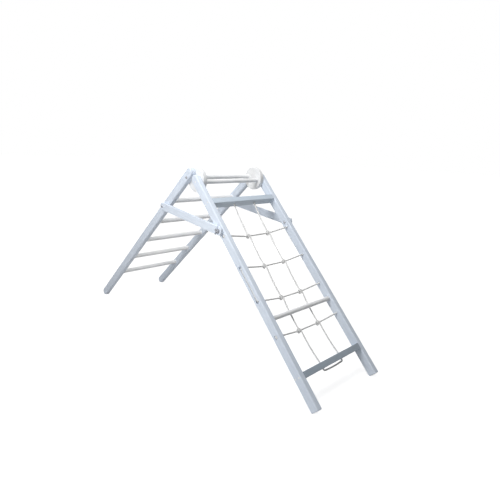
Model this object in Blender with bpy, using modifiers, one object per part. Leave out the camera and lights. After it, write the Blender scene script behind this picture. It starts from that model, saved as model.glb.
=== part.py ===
"""Folding climbing ladder: a rope-net frame and a rung frame that meet at a hinged top.

Metres, +Z up. X is the width, +Y runs from the net frame (front) to the rung frame (rear), and
the floor is at Z = 0. The origin is at floor level under the middle of the whole ladder.
Places on a frame are given as a station, down the rail from its top tip, and an offset,
square to the rail and out towards the climbing face.
"""
import math

import bmesh
import bpy
from mathutils import Matrix, Vector

# Overall shape
OVERALL_WIDTH = 0.580
FRONT_SLOPE_DEG = 46.66
REAR_SLOPE_DEG = 42.38
FRONT_LENGTH = 1.468
STOCK_DEPTH = 0.055
STOCK_THICK = 0.035
EDGE_ROUND = 0.006
FOOT_CUT = 0.004

# Clearances
GAP = 0.0003
OVERRUN = 0.010
MERGE = 0.00001

# Hinged top: two bars between a pair of round cheeks
BAR_RADIUS = 0.0135
FRONT_BAR_STATION = 0.047
PIVOT_RISE = 0.074
PIVOT_INSET = 0.011
FOLD_CLEARANCE = 0.006
REAR_TOP = 0.063
DISC_RADIUS = 0.076
DISC_THICK = 0.030
DISC_SEAT = 0.012
DISC_EDGE = 0.005
DISC_SCREW_STATIONS = (0.030, 0.072)
DISC_SCREW_OFFSETS = (0.012, -0.008)

# Rungs
RUNG_RADIUS = 0.016
RUNG_SEAT = 0.015
RUNG_EDGE = 0.001
RUNG_COUNT = 5
FIRST_RUNG = 0.2545
RUNG_PITCH = 0.2408
MIDDLE_RUNG_RADIUS = 0.0135
MIDDLE_RUNG_DROP = 0.005

# Boards across the front frame
BOARD_EDGE = 0.003
TOP_BOARD_STATION = 0.186
BOTTOM_BOARD_LIFT = 0.162
BOARD_SCREW_SPREAD = 0.029

# Rope net
ROPE_RADIUS = 0.005
ROPE_CLEARANCE = 0.0005
ROW_COUNT = 4
ROW_DROP = 0.008
NET_SAG = 0.026
WRAP_GAP = 0.0006
WRAP_SHIFT = 0.012
WRAP_POINTS = 12
STRAND_DIP = 0.005
STRAND_POINTS = 6
BEND_RADIUS = 0.009
BEND_POINTS = 4
POCKET_RADIUS = 0.012
KNOT_RADIUS = 0.0104
KNOT_LENGTH = 0.013
LOOP_REACH = 0.020
LOOP_BEND = 0.009
LOOP_BULGE = 0.003
ROPE_BEVEL_STEPS = 2

# Braces
BRACE_DEPTH = 0.050
BRACE_THICK = 0.018
BRACE_EDGE = 0.003
BRACE_BELOW_RUNG = 0.0415
CLAMP_ABOVE_ROPE = 0.002
NOTCH_CLEARANCE = 0.001

# Bolts, nuts and screws
BOLT_RADIUS = 0.004
BOLT_HEAD_RADIUS = 0.009
BOLT_HEAD_HEIGHT = 0.003
SOCKET_RADIUS = 0.003
SOCKET_DEPTH = 0.005
DOME_RADIUS = 0.010
DOME_HEIGHT = 0.005
SLEEVE_RADIUS = 0.0055
SLEEVE_LENGTH = 0.014
INSERT_RADIUS = 0.0065
INSERT_LENGTH = 0.022
THREAD_GRIP = 0.018
BOLT_RUNOUT = 0.004
WASHER_RADIUS = 0.013
WASHER_THICK = 0.002
WING_HUB_RADIUS = 0.009
WING_HUB_TOP = 0.007
WING_HUB_HEIGHT = 0.011
WING_LENGTH = 0.021
WING_WIDTH = 0.013
WING_THICK = 0.0035
WING_ROUND = 0.006
WING_TILT_DEG = 38
SCREW_RADIUS = 0.0024
SCREW_HEAD_RADIUS = 0.005
SCREW_HEAD_HEIGHT = 0.004
SCREW_BITE = 0.030
DISC_SCREW_BITE = 0.020

# Facets
ROUND_SIDES = 24
BOLT_SIDES = 14
SCREW_SIDES = 12
DISC_SIDES = 48
CORNER_STEPS = 8
HEX_SIDES = 6

# Angles and unit vectors in the side plane, as (y, z)
FRONT_SLOPE = math.radians(FRONT_SLOPE_DEG)
REAR_SLOPE = math.radians(REAR_SLOPE_DEG)
FOLD_TRAVEL = math.pi - FRONT_SLOPE - REAR_SLOPE
FRONT_DOWN = Vector((-math.cos(FRONT_SLOPE), -math.sin(FRONT_SLOPE)))
FRONT_OUT = Vector((-math.sin(FRONT_SLOPE), math.cos(FRONT_SLOPE)))
REAR_DOWN = Vector((math.cos(REAR_SLOPE), -math.sin(REAR_SLOPE)))
REAR_OUT = Vector((math.sin(REAR_SLOPE), math.cos(REAR_SLOPE)))

# Widths worked out from the stock
OUTER = OVERALL_WIDTH / 2
INNER = OUTER - STOCK_THICK
HALF_DEPTH = STOCK_DEPTH / 2
DISC_OUTER = INNER - GAP
DISC_INNER = DISC_OUTER - DISC_THICK
BRACE_INNER = OUTER + GAP
BRACE_OUTER = BRACE_INNER + BRACE_THICK

# Places worked out from the driving sizes
BAR_HEIGHT = ((FRONT_LENGTH - FRONT_BAR_STATION) * math.sin(FRONT_SLOPE)
              + HALF_DEPTH * math.cos(FRONT_SLOPE) - FOOT_CUT)
PIVOT_SETBACK = STOCK_DEPTH + FOLD_CLEARANCE - PIVOT_INSET
PIVOT_FROM_BAR = -PIVOT_RISE * FRONT_DOWN - PIVOT_SETBACK * FRONT_OUT
PIVOT_HEIGHT = BAR_HEIGHT + PIVOT_FROM_BAR.y
REAR_RUN = ((PIVOT_HEIGHT + PIVOT_INSET * math.cos(REAR_SLOPE) - HALF_DEPTH + FOOT_CUT)
            / math.sin(REAR_SLOPE))
REAR_LENGTH = REAR_TOP + REAR_RUN + HALF_DEPTH
FRONT_REACH = ((FRONT_LENGTH - EDGE_ROUND - FRONT_BAR_STATION) * math.cos(FRONT_SLOPE)
               + (HALF_DEPTH - EDGE_ROUND) * math.sin(FRONT_SLOPE) + EDGE_ROUND)
REAR_REACH = (PIVOT_FROM_BAR.x + REAR_RUN * math.cos(REAR_SLOPE)
              + PIVOT_INSET * math.sin(REAR_SLOPE) + HALF_DEPTH)
BAR_PLACE = Vector(((FRONT_REACH - REAR_REACH) / 2, BAR_HEIGHT))
PIVOT_PLACE = BAR_PLACE + PIVOT_FROM_BAR
DISC_PLACE = (BAR_PLACE + PIVOT_PLACE) / 2
BOTTOM_BOARD_STATION = FRONT_LENGTH - BOTTOM_BOARD_LIFT - STOCK_THICK
NET_TOP = TOP_BOARD_STATION + STOCK_THICK
ROW_PITCH = (BOTTOM_BOARD_STATION - NET_TOP) / (ROW_COUNT + 1)
ROW_STATIONS = [NET_TOP + ROW_PITCH * (row + 1) for row in range(ROW_COUNT)]
MIDDLE_RUNG_STATION = (ROW_STATIONS[-1] + ROW_STATIONS[-2]) / 2 + MIDDLE_RUNG_DROP
RUNG_STATIONS = [REAR_TOP + FIRST_RUNG + RUNG_PITCH * rung for rung in range(RUNG_COUNT)]
COLUMN = INNER / 3
BRACE_REACH = BRACE_DEPTH / 2
CLAMP_STATION = ROW_STATIONS[0] - BRACE_REACH - POCKET_RADIUS - CLAMP_ABOVE_ROPE
BRACE_STATION = RUNG_STATIONS[0] + RUNG_RADIUS + BRACE_BELOW_RUNG
ROPE_HOLE_RADIUS = ROPE_RADIUS + ROPE_CLEARANCE
RUN_X = OUTER - ROPE_HOLE_RADIUS
POCKET_DEPTH = ROPE_HOLE_RADIUS + BEND_RADIUS
GROOVE_DEPTH = ROPE_RADIUS + ROPE_HOLE_RADIUS + GAP
WRAP_RADIUS = 2 * ROPE_RADIUS + WRAP_GAP


def front(station, offset=0):
    """Side-plane place (y, z) on the front frame."""
    return BAR_PLACE + (station - FRONT_BAR_STATION) * FRONT_DOWN + offset * FRONT_OUT


def rear(station, offset=0):
    """Side-plane place (y, z) on the rear frame."""
    return PIVOT_PLACE + (station - REAR_TOP) * REAR_DOWN + (offset + PIVOT_INSET) * REAR_OUT


def at(x, place):
    """World point at width x over a side-plane place."""
    return Vector((x, place.x, place.y))


CLAMP_PLACE = front(CLAMP_STATION)
BRACE_PLACE = rear(BRACE_STATION)
BRACE_RUN = CLAMP_PLACE - BRACE_PLACE
BRACE_LENGTH = BRACE_RUN.length
BRACE_DIR = BRACE_RUN / BRACE_LENGTH
# Folding lays each brace along its leg: it swings down and under to point at the foot
BRACE_SWING = (math.atan2(REAR_DOWN.y, REAR_DOWN.x)
               - math.atan2(BRACE_DIR.y, BRACE_DIR.x)) % (2 * math.pi)
BRACE_RATIO = BRACE_SWING / FOLD_TRAVEL


def turned_left(vector):
    """A side-plane vector turned a quarter turn about +X."""
    return Vector((-vector.y, vector.x))


# Way that the clamp bolt leaves the brace as the frame starts to fold
LEG_SPEED = -turned_left(BRACE_PLACE - PIVOT_PLACE)
TIP_SPEED = LEG_SPEED + (BRACE_RATIO - 1) * turned_left(BRACE_RUN)
NOTCH_DIR = -TIP_SPEED.normalized()

for old in list(bpy.data.objects):
    bpy.data.objects.remove(old, do_unlink=True)

parts = bpy.data.collections.new("climbing_ladder")
cutters = bpy.data.collections.new("cutters")


def make_material(name, color, roughness, metallic=0.0):
    material = bpy.data.materials.new(name)
    material.use_nodes = True
    shader = material.node_tree.nodes["Principled BSDF"]
    shader.inputs["Base Color"].default_value = (*color, 1.0)
    shader.inputs["Roughness"].default_value = roughness
    shader.inputs["Metallic"].default_value = metallic
    return material


BLUE_PAINT = make_material("blue_grey_paint", (0.60, 0.68, 0.76), 0.45)
SLATE_PAINT = make_material("slate_paint", (0.30, 0.36, 0.42), 0.45)
WHITE_PAINT = make_material("white_paint", (0.88, 0.88, 0.87), 0.40)
WHITE_ROPE = make_material("white_rope", (0.85, 0.85, 0.83), 0.85)
ZINC = make_material("zinc_steel", (0.62, 0.63, 0.65), 0.35, 1.0)
WHITE_ENAMEL = make_material("white_enamel", (0.90, 0.90, 0.90), 0.30)


def empty_at(name, point):
    """Empty on a joint's axis, which carries the pieces that turn there."""
    empty = bpy.data.objects.new(name, None)
    empty.location = point
    parts.objects.link(empty)
    return empty


front_frame = empty_at("front_frame", at(0, BAR_PLACE))
rear_frame = empty_at("rear_frame", at(0, PIVOT_PLACE))
brace_axes = {side: empty_at("brace_axis_" + name, at(side * BRACE_INNER, BRACE_PLACE))
              for side, name in ((-1, "left"), (1, "right"))}
for axis in brace_axes.values():
    axis.parent = rear_frame
    axis.matrix_parent_inverse = Matrix.Translation(-rear_frame.location)


def finish(piece, material, carrier, carrier_point):
    """Give a piece its material, smooth shading and the frame that carries it."""
    piece.data.materials.clear()
    piece.data.materials.append(material)
    parts.objects.link(piece)
    piece.parent = carrier
    piece.matrix_parent_inverse = Matrix.Translation(-carrier_point)


def on_front(piece, material):
    finish(piece, material, front_frame, at(0, BAR_PLACE))


def on_rear(piece, material):
    finish(piece, material, rear_frame, at(0, PIVOT_PLACE))


def smooth(mesh):
    mesh.shade_smooth()
    mesh.set_sharp_from_angle(angle=math.radians(35))


def corner(center, radius, start):
    """Quarter-circle of outline points, anticlockwise from the start angle."""
    turns = [start + math.pi / 2 * step / CORNER_STEPS for step in range(CORNER_STEPS + 1)]
    return [(center[0] + radius * math.cos(turn), center[1] + radius * math.sin(turn))
            for turn in turns]


def bar_outline(low, high, depth, low_round, high_round):
    """Outline of a flat bar from x = low to high, with its own rounding at each end."""
    half = depth / 2
    points = corner((high - high_round, half - high_round), high_round, 0)
    points += corner((low + low_round, half - low_round), low_round, math.pi / 2)
    points += corner((low + low_round, low_round - half), low_round, math.pi)
    points += corner((high - high_round, high_round - half), high_round, -math.pi / 2)
    return [point for index, point in enumerate(points)
            if math.dist(point, points[index - 1]) > MERGE]


def mesh_of(shape):
    """Evaluated mesh of a helper object, welded, with the helper removed."""
    bpy.context.scene.collection.objects.link(shape)
    bpy.context.view_layer.update()
    mesh = bpy.data.meshes.new_from_object(
        shape.evaluated_get(bpy.context.evaluated_depsgraph_get()))
    bpy.data.objects.remove(shape, do_unlink=True)
    work = bmesh.new()
    work.from_mesh(mesh)
    bmesh.ops.remove_doubles(work, verts=work.verts, dist=MERGE)
    flat = math.radians(1)
    bmesh.ops.dissolve_limit(work, angle_limit=flat, verts=work.verts, edges=work.edges)
    bmesh.ops.recalc_face_normals(work, faces=work.faces)
    work.to_mesh(mesh)
    work.free()
    return mesh


def plate(name, outline, thickness):
    """Flat piece: a filled 2D outline, extruded both ways."""
    curve = bpy.data.curves.new(name + "_outline", 'CURVE')
    curve.dimensions = '2D'
    curve.fill_mode = 'BOTH'
    curve.extrude = thickness / 2
    spline = curve.splines.new('POLY')
    spline.points.add(len(outline) - 1)
    for point, (x, y) in zip(spline.points, outline):
        point.co = (x, y, 0, 1)
    spline.use_cyclic_u = True
    mesh = mesh_of(bpy.data.objects.new(name + "_outline", curve))
    mesh.name = name
    return bpy.data.objects.new(name, mesh)


def turned(name, profile, sides, ring=False):
    """Turned piece about local Z; the profile runs down its outer side."""
    mesh = bpy.data.meshes.new(name)
    points = [(radius, 0, height) for radius, height in profile]
    edges = [(index, index + 1) for index in range(len(points) - 1)]
    if ring:
        edges.append((len(points) - 1, 0))
    mesh.from_pydata(points, edges, [])
    blank = bpy.data.objects.new(name + "_profile", mesh)
    screw = blank.modifiers.new("turn", 'SCREW')
    screw.steps = sides
    screw.render_steps = sides
    screw.use_merge_vertices = True
    screw.merge_threshold = MERGE
    solid = mesh_of(blank)
    solid.name = name
    smooth(solid)
    return bpy.data.objects.new(name, solid)


def dowel(name, radius, half_length, sides, edge):
    """Round bar along X with eased ends, centred on its own origin."""
    profile = [(0, half_length), (radius - edge, half_length), (radius, half_length - edge),
               (radius, edge - half_length), (radius - edge, -half_length), (0, -half_length)]
    piece = turned(name, profile, sides)
    piece.rotation_euler = (0, math.pi / 2, 0)
    return piece


def bevel(piece, width, segments):
    rounding = piece.modifiers.new("rounded_edges", 'BEVEL')
    rounding.width = width
    rounding.segments = segments
    rounding.limit_method = 'ANGLE'
    rounding.angle_limit = math.radians(40)


def lie_in_side_plane(piece, x, place, along, out):
    """Put a flat piece in the side plane: local X runs along, local Y runs out."""
    local_x = Vector((0, along.x, along.y))
    local_y = Vector((0, out.x, out.y))
    turn = Matrix((local_x, local_y, local_x.cross(local_y))).transposed()
    piece.matrix_world = Matrix.Translation(at(x, place)) @ turn.to_4x4()


def seat_outward(piece, side, x, place):
    """Put a turned piece on an X axis, its local Z pointing out of the given side."""
    piece.location = at(side * x, place)
    piece.rotation_euler = (0, side * math.pi / 2, 0)


def cutter(piece):
    piece.hide_render = True
    piece.display_type = 'WIRE'
    return piece


def rod(name, radius, start, end, sides):
    """Cylinder cutter between two world points."""
    axis = end - start
    work = bmesh.new()
    bmesh.ops.create_cone(work, cap_ends=True, segments=sides, radius1=radius,
                          radius2=radius, depth=axis.length)
    mesh = bpy.data.meshes.new(name)
    work.to_mesh(mesh)
    work.free()
    piece = bpy.data.objects.new(name, mesh)
    piece.location = (start + end) / 2
    piece.rotation_euler = axis.to_track_quat('Z', 'Y').to_euler()
    return cutter(piece)


def cross_hole(name, radius, side, low, high, place, sides=ROUND_SIDES):
    """Hole along X from width low to high on one side."""
    return rod(name, radius, at(side * low, place), at(side * high, place), sides)


def block(name, size):
    """Box centred on its own origin, with its real size in the mesh."""
    work = bmesh.new()
    bmesh.ops.create_cube(work, size=1)
    bmesh.ops.scale(work, vec=size, verts=work.verts)
    mesh = bpy.data.meshes.new(name)
    work.to_mesh(mesh)
    work.free()
    return bpy.data.objects.new(name, mesh)


def cut(piece, tools):
    """Cut a piece with all the tools in a collection of its own."""
    group = bpy.data.collections.new(piece.name + "_cutters")
    cutters.children.link(group)
    for tool in tools:
        group.objects.link(tool)
    boolean = piece.modifiers.new("holes", 'BOOLEAN')
    boolean.operation = 'DIFFERENCE'
    boolean.solver = 'EXACT'
    boolean.operand_type = 'COLLECTION'
    boolean.collection = group


def countersunk(name, grow, shank):
    """Countersunk screw with its head's face at local Z = 0, or its hole when grown."""
    head = SCREW_HEAD_RADIUS + grow
    body = SCREW_RADIUS + grow
    tip = body + grow
    rise = OVERRUN if grow else 0
    profile = [(0, rise), (head, rise), (head, 0)] if grow else [(0, 0), (head, 0)]
    profile += [(body, -SCREW_HEAD_HEIGHT), (body, tip - shank - grow), (0, -shank - grow)]
    return turned(name, profile, SCREW_SIDES)


def screw_at(name, side, x, place, shank, inward=False):
    """A screw's own mesh and its hole; inward screws point from the inside out."""
    facing = -side if inward else side
    pair = (countersunk(name, 0, shank), countersunk(name + "_hole", GAP, shank))
    for piece in pair:
        piece.location = at(side * x, place)
        piece.rotation_euler = (0, facing * math.pi / 2, 0)
    return pair[0], cutter(pair[1])


def floor_block(name, place):
    """Cutter that levels a foot with the floor."""
    size = (2 * STOCK_THICK, 2 * STOCK_DEPTH, STOCK_DEPTH)
    piece = block(name, size)
    piece.location = (place.x, place.y, -STOCK_DEPTH / 2)
    return cutter(piece)


SIDES = ((-1, "left"), (1, "right"))
BOARD_STATIONS = (("top_board", TOP_BOARD_STATION + STOCK_THICK / 2),
                  ("bottom_board", BOTTOM_BOARD_STATION + STOCK_THICK / 2))


def outer_runs(side):
    """Pairs of rows that the rope joins down the outer face of this side."""
    first = 0 if side > 0 else 1
    return [(row, row + 1) for row in range(first, ROW_COUNT - 1, 2)]


# Screws, with the holes that they need in what they fasten
board_holes = {}
bar_holes = {}
disc_holes = {}
for side, side_name in SIDES:
    for board, station in BOARD_STATIONS:
        spread = (-BOARD_SCREW_SPREAD / 2, BOARD_SCREW_SPREAD / 2)
        for number, offset in enumerate(spread, 1):
            screw, hole = screw_at("%s_screw_%s_%d" % (board, side_name, number), side, OUTER,
                                   front(station, offset), STOCK_THICK + SCREW_BITE)
            on_front(screw, WHITE_ENAMEL)
            board_holes.setdefault((board, side), []).append(hole)
    reach = OUTER - DISC_INNER - DISC_SEAT + SCREW_BITE
    screw, bar_holes[side] = screw_at("bar_screw_" + side_name, side, OUTER, BAR_PLACE, reach)
    on_front(screw, WHITE_ENAMEL)
    disc_places = zip(DISC_SCREW_STATIONS, DISC_SCREW_OFFSETS)
    for number, (station, offset) in enumerate(disc_places, 1):
        screw, hole = screw_at("disc_screw_%s_%d" % (side_name, number), side, DISC_INNER,
                               front(station, offset), DISC_THICK + DISC_SCREW_BITE,
                               inward=True)
        on_front(screw, WHITE_ENAMEL)
        disc_holes.setdefault(side, []).append(hole)


def front_rail(side, side_name):
    """Side rail of the net frame: round at the top, square at the foot."""
    name = "front_rail_" + side_name
    outline = bar_outline(0, FRONT_LENGTH, STOCK_DEPTH, HALF_DEPTH, 0)
    rail = plate(name, outline, STOCK_THICK)
    lie_in_side_plane(rail, side * (OUTER - STOCK_THICK / 2), front(0), FRONT_DOWN, FRONT_OUT)
    bevel(rail, EDGE_ROUND, 3)
    tools = [bar_holes[side], *disc_holes[side]]
    for board, station in BOARD_STATIONS:
        tools += board_holes[board, side]
    for row, station in enumerate(ROW_STATIONS):
        place = front(station)
        tools.append(cross_hole("rope_hole", ROPE_HOLE_RADIUS, side, INNER - OVERRUN,
                                OUTER + OVERRUN, place))
        tools.append(cross_hole("rope_pocket", POCKET_RADIUS, side, OUTER - POCKET_DEPTH,
                                OUTER + OVERRUN, place))
    for high, low in outer_runs(side):
        length = ROW_STATIONS[low] - ROW_STATIONS[high]
        groove = block("rope_groove", (length, 2 * ROPE_HOLE_RADIUS, 2 * GROOVE_DEPTH))
        lie_in_side_plane(groove, side * OUTER, front(ROW_STATIONS[high] + length / 2),
                          FRONT_DOWN, FRONT_OUT)
        tools.append(cutter(groove))
    tools.append(cross_hole("middle_rung_seat", MIDDLE_RUNG_RADIUS + GAP, side,
                            INNER - OVERRUN, INNER + RUNG_SEAT, front(MIDDLE_RUNG_STATION)))
    tools.append(cross_hole("clamp_hole", BOLT_RADIUS + GAP, side, INNER - OVERRUN,
                            OUTER + OVERRUN, CLAMP_PLACE, BOLT_SIDES))
    foot = front(FRONT_LENGTH)
    tools.append(floor_block("foot_level", at(side * (OUTER - STOCK_THICK / 2), foot)))
    cut(rail, tools)
    on_front(rail, BLUE_PAINT)


def board(name, station, material):
    """Board between the rails, cut from the same stock as they are."""
    length = 2 * (INNER - GAP)
    piece = block(name, (length, STOCK_THICK, STOCK_DEPTH))
    place = front(station)
    piece.location = at(0, place)
    piece.rotation_euler = (FRONT_SLOPE - math.pi, 0, 0)
    bevel(piece, BOARD_EDGE, 3)
    tools = board_holes[name, -1] + board_holes[name, 1]
    for column in (-COLUMN, COLUMN):
        over = STOCK_THICK / 2 + OVERRUN
        tools.append(rod("rope_hole", ROPE_HOLE_RADIUS,
                         at(column, front(station - over)),
                         at(column, front(station + over)), ROUND_SIDES))
    cut(piece, tools)
    on_front(piece, material)


for side, side_name in SIDES:
    front_rail(side, side_name)
for (board_name, station), paint in zip(BOARD_STATIONS, (BLUE_PAINT, SLATE_PAINT)):
    board(board_name, station, paint)

middle_rung = dowel("middle_rung", MIDDLE_RUNG_RADIUS, INNER + RUNG_SEAT - GAP, ROUND_SIDES,
                    RUNG_EDGE)
middle_rung.location = at(0, front(MIDDLE_RUNG_STATION))
on_front(middle_rung, WHITE_PAINT)


def side_disc(side, side_name):
    """Round cheek inside the frame's top, with a blind seat for each bar."""
    half = DISC_THICK / 2
    edge = DISC_EDGE
    rim = [(DISC_RADIUS - edge + edge * math.sin(turn), half - edge + edge * math.cos(turn))
           for turn in (math.pi / 4 * step for step in range(3))]
    lower = [(radius, -height) for radius, height in reversed(rim)]
    disc = turned("side_disc_" + side_name, [(0, half), *rim, *lower, (0, -half)], DISC_SIDES)
    seat_outward(disc, side, DISC_OUTER - half, DISC_PLACE)
    tools = [bar_holes[side], *disc_holes[side]]
    for place in (BAR_PLACE, PIVOT_PLACE):
        tools.append(cross_hole("bar_seat", BAR_RADIUS + GAP, side, DISC_INNER - OVERRUN,
                                DISC_INNER + DISC_SEAT, place))
    tools.append(cross_hole("pivot_hole", BOLT_RADIUS + GAP, side, DISC_INNER,
                            DISC_OUTER + OVERRUN, PIVOT_PLACE, BOLT_SIDES))
    cut(disc, tools)
    on_front(disc, WHITE_PAINT)


BAR_HALF = DISC_INNER + DISC_SEAT - GAP
PIVOT_BOLT_END = BAR_HALF - THREAD_GRIP
for side, side_name in SIDES:
    side_disc(side, side_name)

front_bar = dowel("front_bar", BAR_RADIUS, BAR_HALF, ROUND_SIDES, RUNG_EDGE)
front_bar.location = at(0, BAR_PLACE)
cut(front_bar, [bar_holes[-1], bar_holes[1]])
on_front(front_bar, WHITE_PAINT)

rear_bar = dowel("rear_bar", BAR_RADIUS, BAR_HALF, ROUND_SIDES, RUNG_EDGE)
rear_bar.location = at(0, PIVOT_PLACE)
cut(rear_bar, [cross_hole("insert_hole", INSERT_RADIUS + GAP, side,
                          BAR_HALF - INSERT_LENGTH - GAP, BAR_HALF + OVERRUN, PIVOT_PLACE)
               for side, side_name in SIDES])
on_front(rear_bar, WHITE_PAINT)


def sleeve(name, outer, bore, length):
    """Plain tube from local Z = 0 down."""
    return turned(name, [(bore, 0), (outer, 0), (outer, -length), (bore, -length)],
                  BOLT_SIDES, ring=True)


for side, side_name in SIDES:
    insert = sleeve("bar_insert_" + side_name, INSERT_RADIUS, BOLT_RADIUS + GAP, INSERT_LENGTH)
    seat_outward(insert, side, BAR_HALF, PIVOT_PLACE)
    on_front(insert, ZINC)


def socket_bolt(name, shank):
    """Flat-headed bolt with a hexagon socket, its head resting on local Z = 0."""
    edge = BOLT_HEAD_HEIGHT / 3
    profile = [(0, BOLT_HEAD_HEIGHT), (BOLT_HEAD_RADIUS - edge, BOLT_HEAD_HEIGHT),
               (BOLT_HEAD_RADIUS, BOLT_HEAD_HEIGHT - edge), (BOLT_HEAD_RADIUS, 0),
               (BOLT_RADIUS, 0), (BOLT_RADIUS, -shank), (0, -shank)]
    return turned(name, profile, BOLT_SIDES)


def seat_socket_bolt(name, side, x, place, shank):
    bolt = socket_bolt(name, shank)
    seat_outward(bolt, side, x, place)
    top = x + BOLT_HEAD_HEIGHT
    cut(bolt, [cross_hole("socket", SOCKET_RADIUS, side, top - SOCKET_DEPTH, top + OVERRUN,
                          place, HEX_SIDES)])
    return bolt


for side, side_name in SIDES:
    head = OUTER + GAP
    pivot_bolt = seat_socket_bolt("pivot_bolt_" + side_name, side, head, PIVOT_PLACE,
                                  head - PIVOT_BOLT_END)
    on_front(pivot_bolt, ZINC)


def rear_leg(side, side_name):
    """Side leg of the rung frame: round at both ends, with blind rung seats."""
    name = "rear_leg_" + side_name
    outline = bar_outline(0, REAR_LENGTH, STOCK_DEPTH, HALF_DEPTH, HALF_DEPTH)
    leg = plate(name, outline, STOCK_THICK)
    lie_in_side_plane(leg, side * (OUTER - STOCK_THICK / 2), rear(0), REAR_DOWN, REAR_OUT)
    bevel(leg, EDGE_ROUND, 3)
    tools = []
    for station in RUNG_STATIONS:
        tools.append(cross_hole("rung_seat", RUNG_RADIUS + GAP, side, INNER - OVERRUN,
                                INNER + RUNG_SEAT, rear(station)))
    tools.append(cross_hole("pivot_hole", BOLT_RADIUS + GAP, side, INNER - OVERRUN,
                            OUTER + OVERRUN, PIVOT_PLACE, BOLT_SIDES))
    tools.append(cross_hole("brace_hole", BOLT_RADIUS + GAP, side, INNER - OVERRUN,
                            OUTER + OVERRUN, BRACE_PLACE, BOLT_SIDES))
    tools.append(cross_hole("sleeve_hole", SLEEVE_RADIUS + GAP, side, INNER - OVERRUN,
                            INNER + SLEEVE_LENGTH + GAP, BRACE_PLACE, BOLT_SIDES))
    foot = rear(REAR_LENGTH - HALF_DEPTH)
    tools.append(floor_block("foot_level", at(side * (OUTER - STOCK_THICK / 2), foot)))
    cut(leg, tools)
    on_rear(leg, BLUE_PAINT)


for side, side_name in SIDES:
    rear_leg(side, side_name)
for number, station in enumerate(RUNG_STATIONS, 1):
    rung = dowel("rear_rung_%d" % number, RUNG_RADIUS, INNER + RUNG_SEAT - GAP, ROUND_SIDES,
                 RUNG_EDGE)
    rung.location = at(0, rear(station))
    on_rear(rung, WHITE_PAINT)


def brace(side, side_name):
    """Flat brace: a pivot hole at the leg and an open notch for the clamp bolt."""
    outline = bar_outline(-BRACE_REACH, BRACE_LENGTH + BRACE_REACH, BRACE_DEPTH, BRACE_REACH,
                          BRACE_REACH)
    piece = plate("brace_" + side_name, outline, BRACE_THICK)
    lie_in_side_plane(piece, side * (BRACE_INNER + BRACE_THICK / 2), BRACE_PLACE, BRACE_DIR,
                      -turned_left(BRACE_DIR))
    bevel(piece, BRACE_EDGE, 3)
    slot_half = BOLT_RADIUS + NOTCH_CLEARANCE
    slot_outline = bar_outline(-slot_half, BRACE_DEPTH, 2 * slot_half, slot_half, 0)
    slot = plate("clamp_notch", slot_outline, BRACE_THICK + 2 * OVERRUN)
    lie_in_side_plane(slot, side * (BRACE_INNER + BRACE_THICK / 2), CLAMP_PLACE, NOTCH_DIR,
                      turned_left(NOTCH_DIR))
    pivot_hole = cross_hole("brace_pivot_hole", BOLT_RADIUS + GAP, side,
                            BRACE_INNER - OVERRUN, BRACE_OUTER + OVERRUN, BRACE_PLACE,
                            BOLT_SIDES)
    cut(piece, [cutter(slot), pivot_hole])
    finish(piece, BLUE_PAINT, brace_axes[side], at(side * BRACE_INNER, BRACE_PLACE))


def sleeve_nut(side, side_name):
    """Flanged nut that draws the brace bolt up from inside the leg."""
    bore = BOLT_RADIUS + GAP
    profile = [(BOLT_HEAD_RADIUS, 0), (BOLT_HEAD_RADIUS, -BOLT_HEAD_HEIGHT),
               (bore, -BOLT_HEAD_HEIGHT), (bore, SLEEVE_LENGTH), (SLEEVE_RADIUS, SLEEVE_LENGTH),
               (SLEEVE_RADIUS, 0)]
    nut = turned("brace_nut_" + side_name, profile, BOLT_SIDES, ring=True)
    seat_outward(nut, side, INNER - GAP, BRACE_PLACE)
    on_rear(nut, ZINC)


for side, side_name in SIDES:
    brace(side, side_name)
    head = BRACE_OUTER + GAP
    brace_bolt = seat_socket_bolt("brace_bolt_" + side_name, side, head, BRACE_PLACE,
                                  head - INNER)
    on_rear(brace_bolt, ZINC)
    sleeve_nut(side, side_name)


def clamp_bolt(side, side_name):
    """Domed bolt pushed out through the rail from its inner face."""
    steps = [math.pi / 2 * step / 4 for step in range(5)]
    dome = [(DOME_RADIUS * math.cos(turn), -DOME_HEIGHT * math.sin(turn)) for turn in steps]
    reach = (BRACE_OUTER - INNER + WASHER_THICK + WING_HUB_HEIGHT + BOLT_RUNOUT
             + 3 * GAP)
    profile = [(0, reach), (BOLT_RADIUS, reach), (BOLT_RADIUS, 0), *dome]
    bolt = turned("clamp_bolt_" + side_name, profile, BOLT_SIDES)
    seat_outward(bolt, side, INNER - GAP, CLAMP_PLACE)
    on_front(bolt, ZINC)


def clamp_washer(side, side_name):
    washer = sleeve("clamp_washer_" + side_name, WASHER_RADIUS, BOLT_RADIUS + GAP,
                    WASHER_THICK)
    seat_outward(washer, side, BRACE_OUTER + GAP + WASHER_THICK, CLAMP_PLACE)
    on_front(washer, ZINC)


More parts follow.
